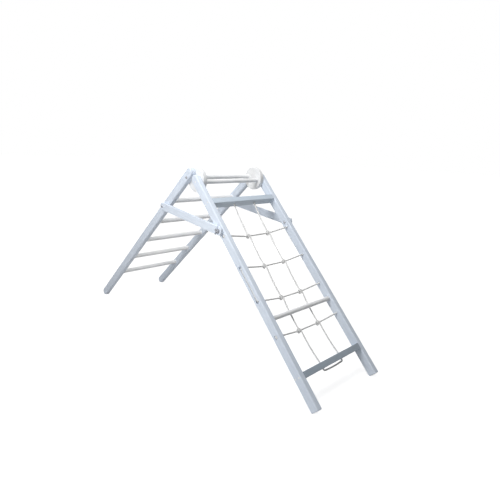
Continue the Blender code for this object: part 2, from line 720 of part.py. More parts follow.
def wing_nut(side, side_name):
    """Hub with two upswept wings, in one solid, bored for the clamp bolt."""
    low = BRACE_OUTER + WASHER_THICK + 2 * GAP
    hub = turned("clamp_wing_nut_" + side_name,
                 [(0, WING_HUB_HEIGHT), (WING_HUB_TOP, WING_HUB_HEIGHT), (WING_HUB_RADIUS, 0),
                  (0, 0)], BOLT_SIDES)
    seat_outward(hub, side, low, CLAMP_PLACE)
    wings = bpy.data.collections.new(hub.name + "_wings")
    cutters.children.link(wings)
    tilt = math.radians(WING_TILT_DEG)
    for way in (-1, 1):
        half = WING_WIDTH / 2
        wing = plate("wing", bar_outline(0, WING_LENGTH, WING_WIDTH, 0, WING_ROUND),
                     WING_THICK)
        bevel(wing, WING_THICK / 4, 2)
        along = Vector((side * math.sin(tilt), 0, way * math.cos(tilt)))
        out = Vector((side * math.cos(tilt), 0, -way * math.sin(tilt)))
        turn = Matrix((along, out, along.cross(out))).transposed()
        foot = at(side * (low + half), CLAMP_PLACE)
        wing.matrix_world = Matrix.Translation(foot) @ turn.to_4x4()
        wings.objects.link(cutter(wing))
    union = hub.modifiers.new("wings", 'BOOLEAN')
    union.operation = 'UNION'
    union.solver = 'EXACT'
    union.operand_type = 'COLLECTION'
    union.collection = wings
    high = low + WING_HUB_HEIGHT + WING_LENGTH
    cut(hub, [cross_hole("wing_bore", BOLT_RADIUS + GAP, side, low - OVERRUN, high,
                         CLAMP_PLACE, BOLT_SIDES)])
    on_front(hub, ZINC)


for side, side_name in SIDES:
    clamp_bolt(side, side_name)
    clamp_washer(side, side_name)
    wing_nut(side, side_name)


def rope(name, points, material):
    """Rope as a tube through (point, radius) pairs, made a closed mesh."""
    curve = bpy.data.curves.new(name + "_route", 'CURVE')
    curve.dimensions = '3D'
    curve.bevel_depth = ROPE_RADIUS
    curve.bevel_resolution = ROPE_BEVEL_STEPS
    curve.use_fill_caps = True
    spline = curve.splines.new('POLY')
    spline.points.add(len(points) - 1)
    for target, (point, radius) in zip(spline.points, points):
        target.co = (*point, 1)
        target.radius = radius / ROPE_RADIUS
    piece = bpy.data.objects.new(name, mesh_of(bpy.data.objects.new(name + "_route", curve)))
    smooth(piece.data)
    on_front(piece, material)
    length = sum((points[i + 1][0] - points[i][0]).length for i in range(len(points) - 1))
    print(name, "length %.3f m" % length, "least gap to itself %.4f m" % least_gap(points))


def least_gap(points):
    """Least clear gap between parts of a rope that are not neighbours."""
    reach = 3 * ROPE_RADIUS * math.pi
    walked = [0.0]
    for i in range(len(points) - 1):
        walked.append(walked[-1] + (points[i + 1][0] - points[i][0]).length)
    least = 1.0
    for i, (point, radius) in enumerate(points):
        for j in range(i + 1, len(points)):
            if walked[j] - walked[i] > reach:
                least = min(least, (points[j][0] - point).length - radius - points[j][1])
    return least


def net_point(x, station, offset=0):
    return at(x, front(station, offset))


KNOT_LENGTH_SHARES = (0, 0.09, 0.28, 0.68, 0.90, 1)
KNOT_SWELL_SHARES = (0, 0.68, 1, 1, 0.62, 0)


def knot(start, way):
    """Stopper knot: the rope swells to the knot's radius and closes again."""
    swell = KNOT_RADIUS - ROPE_RADIUS
    return [(start + way * KNOT_LENGTH * along, ROPE_RADIUS + swell * share)
            for along, share in zip(KNOT_LENGTH_SHARES, KNOT_SWELL_SHARES)]


def line(start, end, count, dip=0):
    """Points between two ends, both left out, hanging behind by the dip at mid-span."""
    back = at(0, -FRONT_OUT)
    points = []
    for step in range(1, count):
        share = step / count
        points.append(start.lerp(end, share) + back * dip * 4 * share * (1 - share))
    return points


def row_points(row, way):
    """One crossing of the cross rope, from one rail's bend to the other's."""
    station = ROW_STATIONS[row]
    bend_x = RUN_X - BEND_RADIUS
    low = station + ROW_DROP
    flat = WRAP_SHIFT
    hold = [net_point(-way * bend_x, station), net_point(-way * (INNER - GAP), station),
            net_point(-way * (COLUMN + flat), low, -NET_SAG),
            net_point(-way * (COLUMN - flat), low, -NET_SAG),
            net_point(way * (COLUMN - flat), low, -NET_SAG),
            net_point(way * (COLUMN + flat), low, -NET_SAG),
            net_point(way * (INNER - GAP), station), net_point(way * bend_x, station)]
    points = [hold[0]]
    for index in range(1, len(hold)):
        long_leg = index in (2, 4, 6)
        count = STRAND_POINTS if long_leg else 1
        points += line(hold[index - 1], hold[index], count)
        points.append(hold[index])
    return points


def outer_bend(side, station, down):
    """Quarter bend from a rope hole into the run down the rail's outer face."""
    points = []
    for step in range(1, BEND_POINTS + 1):
        turn = math.pi / 2 * step / BEND_POINTS
        x = RUN_X - BEND_RADIUS + BEND_RADIUS * math.sin(turn)
        fall = BEND_RADIUS * (1 - math.cos(turn))
        points.append(net_point(side * x, station + down * fall))
    return points


def cross_rope():
    """One rope that serves every row: knot, crossings and outer runs, knot."""
    knot_x = OUTER - POCKET_DEPTH + GAP
    swell = knot(net_point(-knot_x, ROW_STATIONS[0]), Vector((-1, 0, 0)))
    points = list(reversed(swell))
    way = 1
    for row in range(ROW_COUNT):
        points += [(point, ROPE_RADIUS) for point in row_points(row, way)[1:-1]]
        if row < ROW_COUNT - 1:
            down = outer_bend(way, ROW_STATIONS[row], 1)
            up = outer_bend(way, ROW_STATIONS[row + 1], -1)
            edge = net_point(way * (RUN_X - BEND_RADIUS), ROW_STATIONS[row])
            far_edge = net_point(way * (RUN_X - BEND_RADIUS), ROW_STATIONS[row + 1])
            run = [edge, *down, *line(down[-1], up[-1], STRAND_POINTS), *reversed(up), far_edge]
            points += [(point, ROPE_RADIUS) for point in run]
        way = -way
    points += knot(net_point(-knot_x, ROW_STATIONS[-1]), Vector((-1, 0, 0)))
    return points


def wrap(column, row):
    """Round turn of a long rope about the cross rope, moving aside as it goes."""
    station = ROW_STATIONS[row] + ROW_DROP
    points = []
    for step in range(WRAP_POINTS + 1):
        share = step / WRAP_POINTS
        turn = 2 * math.pi * share
        points.append(net_point(column + WRAP_SHIFT * (share - 1 / 2),
                                station + WRAP_RADIUS * math.sin(turn),
                                -NET_SAG + WRAP_RADIUS * math.cos(turn)))
    return points


def column_points(column):
    """A long rope's course from the top board's upper face to the bottom board's lower."""
    high = TOP_BOARD_STATION - GAP
    low = BOTTOM_BOARD_STATION + STOCK_THICK + GAP
    points = [net_point(column, high), net_point(column, NET_TOP)]
    for row in range(ROW_COUNT):
        turn = wrap(column, row)
        points += line(points[-1], turn[0], STRAND_POINTS, STRAND_DIP)
        points += turn
    entry = net_point(column, BOTTOM_BOARD_STATION)
    points += line(points[-1], entry, STRAND_POINTS, STRAND_DIP)
    points += [entry, net_point(column, low)]
    return points


def loop_points():
    """Loop of the long rope under the bottom board, from one hole to the other."""
    low = BOTTOM_BOARD_STATION + STOCK_THICK + GAP
    deep = low + LOOP_REACH - LOOP_BULGE - ROPE_RADIUS
    quarter = []
    for step in range(BEND_POINTS + 1):
        turn = math.pi / 2 * step / BEND_POINTS
        quarter.append((COLUMN - LOOP_BEND * (1 - math.cos(turn)),
                        deep - LOOP_BEND * (1 - math.sin(turn))))
    left = [net_point(-x, station) for x, station in quarter]
    right = [net_point(x, station) for x, station in reversed(quarter)]
    width = COLUMN - LOOP_BEND
    middle = []
    for step in range(1, STRAND_POINTS):
        share = step / STRAND_POINTS
        bulge = LOOP_BULGE * 4 * share * (1 - share)
        middle.append(net_point(width * (2 * share - 1), deep + bulge))
    return left + middle + right


def long_rope():
    """One rope for both columns, knotted above the top board at each end."""
    up = at(0, -FRONT_DOWN)
    left = column_points(-COLUMN)
    right = column_points(COLUMN)
    points = [(point, ROPE_RADIUS) for point in [*left, *loop_points(), *reversed(right)]]
    return [*reversed(knot(left[0] + up * GAP, up)), *points, *knot(right[0] + up * GAP, up)]


rope("cross_rope", cross_rope(), WHITE_ROPE)
rope("long_rope", long_rope(), WHITE_ROPE)

bpy.context.scene.collection.children.link(parts)
bpy.context.scene.collection.children.link(cutters)

print("fold axis", at(0, PIVOT_PLACE), "travel %.2f deg" % math.degrees(FOLD_TRAVEL))
print("brace axis", at(0, BRACE_PLACE), "swing %.2f deg" % math.degrees(BRACE_SWING),
      "ratio %.5f" % -BRACE_RATIO, "length %.4f" % BRACE_LENGTH)
print("clamp axis", at(0, CLAMP_PLACE), "bar axis", at(0, BAR_PLACE))
print("rows", [round(station, 4) for station in ROW_STATIONS])
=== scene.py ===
"""Dressed folding climbing ladder: painted wood, twisted rope, zinc hardware, studio and camera.

Metres, in the row frame: X is the width, +Y runs from the net frame to the rung frame, the floor
is at Z = 0. A place on the net frame is a station, down the rail from its top tip, and an offset,
out towards the climbing face, as in the part's source.
"""
import math

import bmesh
import bpy
from mathutils import Matrix, Vector


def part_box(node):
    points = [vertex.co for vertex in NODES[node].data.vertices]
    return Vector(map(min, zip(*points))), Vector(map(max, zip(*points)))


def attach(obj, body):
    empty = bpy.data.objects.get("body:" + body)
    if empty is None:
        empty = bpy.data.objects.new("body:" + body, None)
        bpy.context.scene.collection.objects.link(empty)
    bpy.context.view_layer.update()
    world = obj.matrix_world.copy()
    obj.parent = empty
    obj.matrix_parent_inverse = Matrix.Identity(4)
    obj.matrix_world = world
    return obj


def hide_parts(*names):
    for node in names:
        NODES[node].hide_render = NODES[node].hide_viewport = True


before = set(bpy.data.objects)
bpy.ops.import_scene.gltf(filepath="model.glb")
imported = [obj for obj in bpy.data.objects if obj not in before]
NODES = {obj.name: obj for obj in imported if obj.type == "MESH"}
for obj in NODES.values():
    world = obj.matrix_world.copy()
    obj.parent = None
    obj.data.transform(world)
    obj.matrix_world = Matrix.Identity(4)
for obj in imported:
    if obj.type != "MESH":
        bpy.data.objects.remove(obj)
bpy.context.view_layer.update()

# Sizes of the part's frames, as in its source
FRONT_SLOPE = math.radians(46.66)
REAR_SLOPE = math.radians(42.38)
BRACE_SLOPE = math.radians(6.92)
FRONT_LENGTH = 1.468
OUTER = 0.290
STOCK_THICK = 0.035
INNER = OUTER - STOCK_THICK
GAP = 0.0003
FRONT_BAR_STATION = 0.047
TOP_BOARD_STATION = 0.186
BOTTOM_BOARD_LIFT = 0.162
BOTTOM_BOARD_STATION = FRONT_LENGTH - BOTTOM_BOARD_LIFT - STOCK_THICK
NET_TOP = TOP_BOARD_STATION + STOCK_THICK

# Sizes of the part's ropes, as in its source
ROPE_RADIUS = 0.005
ROPE_HOLE_RADIUS = 0.0055
COLUMN = INNER / 3
ROW_COUNT = 4
ROW_PITCH = (BOTTOM_BOARD_STATION - NET_TOP) / (ROW_COUNT + 1)
ROW_STATIONS = [NET_TOP + ROW_PITCH * (row + 1) for row in range(ROW_COUNT)]
ROW_DROP = 0.008
NET_SAG = 0.026
WRAP_RADIUS = 0.0106
WRAP_SHIFT = 0.012
WRAP_POINTS = 12
STRAND_DIP = 0.005
STRAND_POINTS = 6
BEND_RADIUS = 0.009
BEND_POINTS = 4
KNOT_RADIUS = 0.0104
KNOT_LENGTH = 0.013
LOOP_REACH = 0.020
LOOP_BEND = 0.009
LOOP_BULGE = 0.003
RUN_X = OUTER - ROPE_HOLE_RADIUS
POCKET_DEPTH = ROPE_HOLE_RADIUS + BEND_RADIUS

# Directions, and the front grip bar, whose known station ties the others to the world
LEFT = Vector((-1, 0, 0))
DOWN = Vector((0, -math.cos(FRONT_SLOPE), -math.sin(FRONT_SLOPE)))
OUT = Vector((0, -math.sin(FRONT_SLOPE), math.cos(FRONT_SLOPE)))
bar_low, bar_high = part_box("front_bar")
BAR_PLACE = (bar_low + bar_high) / 2


def net_point(x, station, offset=0):
    """World point on the net frame."""
    return (Vector((x, BAR_PLACE.y, BAR_PLACE.z)) + (station - FRONT_BAR_STATION) * DOWN
            + offset * OUT)


def place_object(name, data):
    """New object in the scene, with the given mesh, lamp or camera."""
    item = bpy.data.objects.new(name, data)
    bpy.context.scene.collection.objects.link(item)
    return item


# Shader helpers

# A noise texture's usual range, and the colour sockets of a mix node, which share their names
# with its number sockets and are therefore picked by index
NOISE_LOW = 0.3
NOISE_HIGH = 0.7
MIX_LOW = 6
MIX_HIGH = 7
MIX_RESULT = 2

# Noise textures: features to a metre, octaves of detail, roughness of the detail. The rope's
# fibre counts along its unrolled surface instead.
NOISES = {
    "brush": (210, 3.0, 0.6),
    "fibre": (620, 3.0, 0.65),
    "tone": (2.4, 2.0, 0.5),
    "spangle": (900, 2.0, 0.5),
    "plating": (120, 2.0, 0.5),
    "enamel": (60, 2.0, 0.5),
    "pebble": (700, 1.0, 0.5),
    "rope_fibre": (8, 3.0, 0.6),
    "rope_cloud": (40, 2.0, 0.5),
    "floor": (6, 2.0, 0.5),
}

# Relief of those textures that are felt as well as seen: depth in metres, strength
RELIEFS = {
    "brush": (0.0004, 0.35),
    "fibre": (0.0003, 0.45),
    "spangle": (0.0001, 0.3),
    "pebble": (0.0001, 0.3),
    "rope_fibre": (0.0006, 0.6),
}


def add(tree, kind, **values):
    """New shader node with its properties set."""
    node = tree.nodes.new(kind)
    for key, value in values.items():
        setattr(node, key, value)
    return node


def new_material(name):
    """New material, with its node tree and its surface shader."""
    material = bpy.data.materials.new(name)
    material.use_nodes = True
    tree = material.node_tree
    return material, tree, tree.nodes["Principled BSDF"]


def object_place(tree):
    """The surface point in the piece's own coordinates."""
    return add(tree, "ShaderNodeTexCoord").outputs["Object"]


def shade(color, factor):
    """A colour made deeper or paler."""
    return tuple(min(1, channel * factor) for channel in color)


def mix_colors(tree, factor, low, high, blend="MIX"):
    """Mix two colours, each a value or a socket, by a factor that is a number or a socket."""
    mix = add(tree, "ShaderNodeMix", data_type="RGBA", blend_type=blend)
    if isinstance(factor, bpy.types.NodeSocket):
        tree.links.new(factor, mix.inputs["Factor"])
    else:
        mix.inputs["Factor"].default_value = factor
    for socket, color in ((mix.inputs[MIX_LOW], low), (mix.inputs[MIX_HIGH], high)):
        if isinstance(color, bpy.types.NodeSocket):
            tree.links.new(color, socket)
        else:
            socket.default_value = (*color, 1)
    return mix.outputs[MIX_RESULT]


def noise(tree, kind, place):
    """One of the named noise textures, at a place given by a socket."""
    node = add(tree, "ShaderNodeTexNoise")
    for name, value in zip(("Scale", "Detail", "Roughness"), NOISES[kind]):
        node.inputs[name].default_value = value
    tree.links.new(place, node.inputs["Vector"])
    return node.outputs["Fac"]


def spread(tree, socket, low=0, high=1, from_low=NOISE_LOW, from_high=NOISE_HIGH):
    """Map one range, a noise texture's usual one if none is given, on to another."""
    node = add(tree, "ShaderNodeMapRange")
    for name, value in (("From Min", from_low), ("From Max", from_high), ("To Min", low),
                        ("To Max", high)):
        node.inputs[name].default_value = value
    tree.links.new(socket, node.inputs["Value"])
    return node.outputs["Result"]


def bump(tree, shader, kind, height, under=None):
    """Relief of a named texture, on top of another relief if there is one."""
    node = add(tree, "ShaderNodeBump")
    for name, value in zip(("Distance", "Strength"), RELIEFS[kind]):
        node.inputs[name].default_value = value
    tree.links.new(height, node.inputs["Height"])
    if under:
        tree.links.new(under, node.inputs["Normal"])
    tree.links.new(node.outputs["Normal"], shader.inputs["Normal"])
    return node.outputs["Normal"]


def vector_math(tree, operation, socket, constant=None):
    """Vector node that works on one socket, with a constant second value if it needs one."""
    node = add(tree, "ShaderNodeVectorMath", operation=operation)
    tree.links.new(socket, node.inputs[0])
    if constant is not None:
        node.inputs[1].default_value = constant
    return node.outputs["Value" if operation == "LENGTH" else "Vector"]


def combine(tree, operation, first, second):
    """One number from two sockets."""
    node = add(tree, "ShaderNodeMath", operation=operation)
    tree.links.new(first, node.inputs[0])
    tree.links.new(second, node.inputs[1])
    return node.outputs[0]


# Painted wood

BLUE = (0.735, 0.80, 0.89)
BOARD_BLUE = (0.60, 0.68, 0.76)
SLATE = (0.38, 0.44, 0.50)
WHITE = (0.93, 0.935, 0.935)
DISC_WHITE = (0.87, 0.875, 0.875)

# The colour's range over the brush marks, and a cast in wide soft patches
BRUSH_DEEP = 0.93
BRUSH_PALE = 1.05
COOL_CAST = (0.94, 0.95, 0.97)
NO_CAST = (1, 1, 1)

# Roughness of each paint, and how far the brush marks take it down and up
BLUE_ROUGHNESS = 0.42
WHITE_ROUGHNESS = 0.38
GLOSSIER = 0.06
DULLER = 0.08
PAINT_SPECULAR = 0.2

# Turns that bring each family's grain on to the texture's Y axis
GRAIN = {
    "front": (-FRONT_SLOPE, 0, 0),
    "rear": (REAR_SLOPE, 0, 0),
    "brace": (-BRACE_SLOPE, 0, 0),
    "across": (0, 0, math.pi / 2),
}

# Squeezes along the grain. The smaller, the longer the marks.
FIBRE_SQUEEZE = 0.035
STREAK_SQUEEZE = 0.08


def along_grain(tree, place, grain, squeeze):
    """The place turned to a family's grain and squeezed along it, so that marks stretch."""
    turn = add(tree, "ShaderNodeMapping")
    turn.inputs["Rotation"].default_value = GRAIN[grain]
    resize = add(tree, "ShaderNodeMapping")
    resize.inputs["Scale"].default_value = (1, squeeze, 1)
    tree.links.new(place, turn.inputs["Vector"])
    tree.links.new(turn.outputs["Vector"], resize.inputs["Vector"])
    return resize.outputs["Vector"]


def painted_wood(name, color, grain, roughness=BLUE_ROUGHNESS):
    """Satin paint brushed over planed wood: streaks along the grain and fibres under the film."""
    material, tree, shader = new_material(name + "_" + grain)
    place = object_place(tree)
    brush = noise(tree, "brush", along_grain(tree, place, grain, STREAK_SQUEEZE))
    fibre = noise(tree, "fibre", along_grain(tree, place, grain, FIBRE_SQUEEZE))
    tone = noise(tree, "tone", place)
    base = mix_colors(tree, spread(tree, brush), shade(color, BRUSH_DEEP),
                      shade(color, BRUSH_PALE))
    cast = mix_colors(tree, spread(tree, tone), COOL_CAST, NO_CAST)
    tree.links.new(mix_colors(tree, 1, base, cast, "MULTIPLY"), shader.inputs["Base Color"])
    gloss = spread(tree, brush, roughness - GLOSSIER, roughness + DULLER)
    tree.links.new(gloss, shader.inputs["Roughness"])
    shader.inputs["Specular IOR Level"].default_value = PAINT_SPECULAR
    film = bump(tree, shader, "brush", brush)
    bump(tree, shader, "fibre", fibre, film)
    return material


# Hardware

ZINC_DEEP = (0.30, 0.31, 0.34)
ZINC_PALE = (0.46, 0.47, 0.50)
ZINC_GLOSSY = 0.24
ZINC_DULL = 0.42

# A bolt's drive socket gets painted shade, dark to a little past its edge, where the painted
# shade ends softly
SOCKET_PAINTED_SHADE = (0.03, 0.03, 0.035)
SOCKET_RADIUS = 0.0032
SOCKET_EDGE_START = SOCKET_RADIUS * 0.92
SOCKET_EDGE_END = SOCKET_RADIUS * 1.02
ACROSS_X = (0, 1, 1)

ENAMEL_DEEP = 0.95
ENAMEL_GLOSSY = 0.24
ENAMEL_DULL = 0.34


def socket_painted_shade_mask(tree, place, center):
    """Mask of the painted shade in a bolt's drive socket, which runs along X: 1 inside it and 0
    outside it.
    """
    from_center = vector_math(tree, "SUBTRACT", place, center)
    flat = vector_math(tree, "MULTIPLY", from_center, ACROSS_X)
    reach = vector_math(tree, "LENGTH", flat)
    return spread(tree, reach, 1, 0, SOCKET_EDGE_START, SOCKET_EDGE_END)


def zinc_steel(name, socket_center=None):
    """Zinc plate with a fine spangle, and painted shade in its drive socket where the socket's
    centre is given.
    """
    material, tree, shader = new_material(name)
    place = object_place(tree)
    spangle = noise(tree, "spangle", place)
    plating = noise(tree, "plating", place)
    color = mix_colors(tree, spread(tree, plating), ZINC_DEEP, ZINC_PALE)
    if socket_center is not None:
        # Painted shade: the drive socket's recess is coloured near black
        color = mix_colors(tree, socket_painted_shade_mask(tree, place, socket_center), color, SOCKET_PAINTED_SHADE)
    tree.links.new(color, shader.inputs["Base Color"])
    shader.inputs["Metallic"].default_value = 1
    tree.links.new(spread(tree, spangle, ZINC_GLOSSY, ZINC_DULL), shader.inputs["Roughness"])
    bump(tree, shader, "spangle", spangle)
    return material


def enamel(name, color):
    """Stove enamel on a screw's head: thick, a little glossy, slightly pebbled."""
    material, tree, shader = new_material(name)
    place = object_place(tree)
    cloud = noise(tree, "enamel", place)
    pebble = noise(tree, "pebble", place)
    base = mix_colors(tree, spread(tree, cloud), shade(color, ENAMEL_DEEP), color)
    tree.links.new(base, shader.inputs["Base Color"])
    gloss = spread(tree, pebble, ENAMEL_GLOSSY, ENAMEL_DULL)
    tree.links.new(gloss, shader.inputs["Roughness"])
    bump(tree, shader, "pebble", pebble)
    return material


# Rope

ROPE_COLOR = (0.85, 0.85, 0.845)
ROPE_SHADE = (0.81, 0.81, 0.805)
# The groove colour is painted shade laid between the strands
ROPE_GROOVE_PAINTED_SHADE = (0.74, 0.74, 0.735)
ROPE_ROUGHNESS = 0.85
ROPE_SHEEN = 0.25
ROPE_SHEEN_ROUGHNESS = 0.5
ROPE_FIBRE_SCALE = (60, 3, 1)


def rope_material(name):
    """Off-white twisted rope: fibres along each strand, and painted shade between the strands."""
    material, tree, shader = new_material(name)
    lay = add(tree, "ShaderNodeUVMap", uv_map="lay")
    fibre_map = add(tree, "ShaderNodeMapping")
    fibre_map.inputs["Scale"].default_value = ROPE_FIBRE_SCALE
    tree.links.new(lay.outputs["UV"], fibre_map.inputs["Vector"])
    fibre = noise(tree, "rope_fibre", fibre_map.outputs["Vector"])
    cloud = noise(tree, "rope_cloud", object_place(tree))
    groove_depth_and_shade = add(tree, "ShaderNodeAttribute", attribute_name="groove_depth_and_shade")
    clean = mix_colors(tree, spread(tree, cloud), ROPE_SHADE, ROPE_COLOR)
    # Painted shade: deeper towards the bottoms of the grooves between the strands
    shaded = mix_colors(tree, groove_depth_and_shade.outputs["Fac"], clean, ROPE_GROOVE_PAINTED_SHADE)
    tree.links.new(shaded, shader.inputs["Base Color"])
    shader.inputs["Roughness"].default_value = ROPE_ROUGHNESS
    shader.inputs["Sheen Weight"].default_value = ROPE_SHEEN
    shader.inputs["Sheen Roughness"].default_value = ROPE_SHEEN_ROUGHNESS
    bump(tree, shader, "rope_fibre", fibre)
    return material


# Which material each solid wears

RAIL_PAINT = painted_wood("blue_grey_paint", BLUE, "front")
LEG_PAINT = painted_wood("blue_grey_paint", BLUE, "rear")
BRACE_PAINT = painted_wood("blue_grey_paint", BLUE, "brace")
TOP_BOARD_PAINT = painted_wood("board_paint", BOARD_BLUE, "across")
BOTTOM_BOARD_PAINT = painted_wood("slate_paint", SLATE, "across")
RUNG_PAINT = painted_wood("white_paint", WHITE, "across", WHITE_ROUGHNESS)
DISC_PAINT = painted_wood("white_paint", DISC_WHITE, "front", WHITE_ROUGHNESS)
ZINC = zinc_steel("zinc_steel")
ENAMEL = enamel("white_enamel", WHITE)
ROPE = rope_material("white_rope")

# Materials by the start of a solid's name. Bolts with a drive socket and screws aren't here.
MATERIALS = {
    "bar_insert": ZINC,
    "brace_nut": ZINC,
    "clamp": ZINC,
    "front_rail": RAIL_PAINT,
    "rear_leg": LEG_PAINT,
    "brace": BRACE_PAINT,
    "top_board": TOP_BOARD_PAINT,
    "bottom_board": BOTTOM_BOARD_PAINT,
    "rear_rung": RUNG_PAINT,
    "middle_rung": RUNG_PAINT,
    "front_bar": RUNG_PAINT,
    "rear_bar": RUNG_PAINT,
    "side_disc": DISC_PAINT,
    "cross_rope": ROPE,
    "long_rope": ROPE,
}
SOCKET_BOLTS = ("brace_bolt", "pivot_bolt")


def material_for(node):
    """The material that a solid wears."""
    if "_screw_" in node:
        return ENAMEL
    if node.startswith(SOCKET_BOLTS):
        # Each bolt with a drive socket gets its own zinc, with painted shade in the socket
        low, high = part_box(node)
        return zinc_steel(node + "_zinc", (low + high) / 2)
    return next(MATERIALS[start] for start in MATERIALS if node.startswith(start))


# Carried-over solids: welded, with smooth rounded edges and cross recesses in the screw heads

SMOOTH_ANGLE = math.radians(32)
WELD_DISTANCE = 0.00001
FLAT_FACES_WEIGHT = 100

# A recess's arm, from the middle to its end, its half width, and its depth
RECESS_REACH = 0.0031
RECESS_HALF = 0.0006
RECESS_DEPTH = 0.0022


def smooth_group():
    """Node group that shades a mesh smooth except over its sharp edges."""
    group = bpy.data.node_groups.new("smooth_by_edge_angle", "GeometryNodeTree")
    group.interface.new_socket("Geometry", in_out="INPUT", socket_type="NodeSocketGeometry")
    group.interface.new_socket("Geometry", in_out="OUTPUT", socket_type="NodeSocketGeometry")
    start = add(group, "NodeGroupInput")
    end = add(group, "NodeGroupOutput")
    angle = add(group, "GeometryNodeInputMeshEdgeAngle")
    compare = add(group, "FunctionNodeCompare", data_type="FLOAT", operation="GREATER_THAN")
    compare.inputs["B"].default_value = SMOOTH_ANGLE
    faces = add(group, "GeometryNodeSetShadeSmooth", domain="FACE")
    edges = add(group, "GeometryNodeSetShadeSmooth", domain="EDGE")
    faces.inputs["Shade Smooth"].default_value = True
    edges.inputs["Shade Smooth"].default_value = False
    links = group.links
    links.new(start.outputs[0], faces.inputs["Geometry"])
    links.new(faces.outputs["Geometry"], edges.inputs["Geometry"])
    links.new(angle.outputs["Unsigned Angle"], compare.inputs["A"])
    links.new(compare.outputs["Result"], edges.inputs["Selection"])
    links.new(edges.outputs["Geometry"], end.inputs[0])
    return group


SMOOTH = smooth_group()


def weld(piece):
    """Join a solid's loose triangles and drop the flat normals that came with them."""
    normals = piece.data.attributes.get("custom_normal")
    if normals:
        piece.data.attributes.remove(normals)
    piece.modifiers.new("weld", "WELD").merge_threshold = WELD_DISTANCE


def finish_shading(piece):
    """Smooth rounded edges, with the flat faces kept flat."""
    piece.modifiers.new("smooth", "NODES").node_group = SMOOTH
    weighted = piece.modifiers.new("flat_faces", "WEIGHTED_NORMAL")
    weighted.keep_sharp = True
    weighted.weight = FLAT_FACES_WEIGHT


def cross_cutter(name, center, axis):
    """Hidden cross-shaped cutter, centred on a screw's face."""
    arm = [(RECESS_REACH, RECESS_HALF), (RECESS_HALF, RECESS_HALF), (RECESS_HALF, RECESS_REACH)]
    outline = []
    for quarter in range(4):
        turn = math.pi / 2 * quarter
        outline += [(x * math.cos(turn) - y * math.sin(turn),
                     x * math.sin(turn) + y * math.cos(turn)) for x, y in arm]
    work = bmesh.new()
    face = work.faces.new([work.verts.new((x, y, -RECESS_DEPTH)) for x, y in outline])
    extruded = bmesh.ops.extrude_face_region(work, geom=[face])
    lifted = [item for item in extruded["geom"] if isinstance(item, bmesh.types.BMVert)]
    bmesh.ops.translate(work, vec=(0, 0, 2 * RECESS_DEPTH), verts=lifted)
    bmesh.ops.recalc_face_normals(work, faces=work.faces)
    mesh = bpy.data.meshes.new(name)
    work.to_mesh(mesh)
    work.free()
    cutter = place_object(name, mesh)
    cutter.rotation_euler = axis.to_track_quat("Z", "Y").to_euler()
    cutter.location = center
    cutter.hide_render = True
    cutter.hide_viewport = True
    return cutter


def cut_recess(node, piece):
    """Sink a cross recess into a screw's head. The disc screws face inwards, the others out."""
    low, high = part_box(node)
    middle = (low + high) / 2
    side = 1 if middle.x > 0 else -1
    if node.startswith("disc"):
        head_x = min(abs(low.x), abs(high.x))
        axis = LEFT * side
    else:
        head_x = max(abs(low.x), abs(high.x))
        axis = -LEFT * side
    recess = piece.modifiers.new("recess", "BOOLEAN")
    recess.operation = "DIFFERENCE"
    recess.solver = "EXACT"
    recess.object = cross_cutter(node + "_recess", Vector((side * head_x, middle.y, middle.z)),
                                 axis)


for node, piece in NODES.items():
    piece.data.materials.clear()
    piece.data.materials.append(material_for(node))
    weld(piece)
    if "_screw_" in node:
        cut_recess(node, piece)
    finish_shading(piece)


# Courses of the two ropes, the same as their solids take

# A knot's outline: places along it, and how much of its swell it has at each
KNOT_LENGTH_SHARES = (0, 0.09, 0.28, 0.68, 0.90, 1)
KNOT_SWELL_SHARES = (0, 0.68, 1, 1, 0.62, 0)


def arch(share):
    """Height of a shallow arch over its span: 0 at both ends and 1 in the middle."""
    return 4 * share * (1 - share)


def line(start, end, dip=0):
    """Points between two ends, both left out, hanging behind by the dip at mid-span."""
    points = []
    for step in range(1, STRAND_POINTS):
        share = step / STRAND_POINTS
        points.append(start.lerp(end, share) - OUT * dip * arch(share))
    return points


def knot(start, direction):
    """Stopper knot: the rope swells to the knot's radius and closes again."""
    swell = KNOT_RADIUS - ROPE_RADIUS
    return [(start + direction * KNOT_LENGTH * along, ROPE_RADIUS + swell * share)
            for along, share in zip(KNOT_LENGTH_SHARES, KNOT_SWELL_SHARES)]


def row_points(row, way):
    """One crossing of the cross rope between the rails, straight where each column wraps it.

    The way is 1 from left to right and -1 from right to left.
    """
    station = ROW_STATIONS[row]
    low = station + ROW_DROP
    held = [net_point(-way * (INNER - GAP), station)]
    for column in (-COLUMN, COLUMN):
        held.append(net_point(way * (column - WRAP_SHIFT), low, -NET_SAG))
        held.append(net_point(way * (column + WRAP_SHIFT), low, -NET_SAG))
    held.append(net_point(way * (INNER - GAP), station))
    points = []
    for start, end in zip(held[::2], held[1::2]):
        points += [start, *line(start, end), end]
    return points


def outer_bend(side, station, down):
    """Quarter bend from a rope hole into the rail's outer face, down (1) or up (-1) the rail."""
    points = []
    for step in range(1, BEND_POINTS + 1):
        turn = math.pi / 2 * step / BEND_POINTS
        x = RUN_X - BEND_RADIUS + BEND_RADIUS * math.sin(turn)
        fall = BEND_RADIUS * (1 - math.cos(turn))
        points.append(net_point(side * x, station + down * fall))
    return points


def outer_run(row, side):
    """The cross rope's run from one row to the next, in the outer face of a rail (-1 or 1)."""
    edge_x = side * (RUN_X - BEND_RADIUS)
    down = outer_bend(side, ROW_STATIONS[row], 1)
    up = outer_bend(side, ROW_STATIONS[row + 1], -1)
    return [net_point(edge_x, ROW_STATIONS[row]), *down, *line(down[-1], up[-1]), *reversed(up),
            net_point(edge_x, ROW_STATIONS[row + 1])]


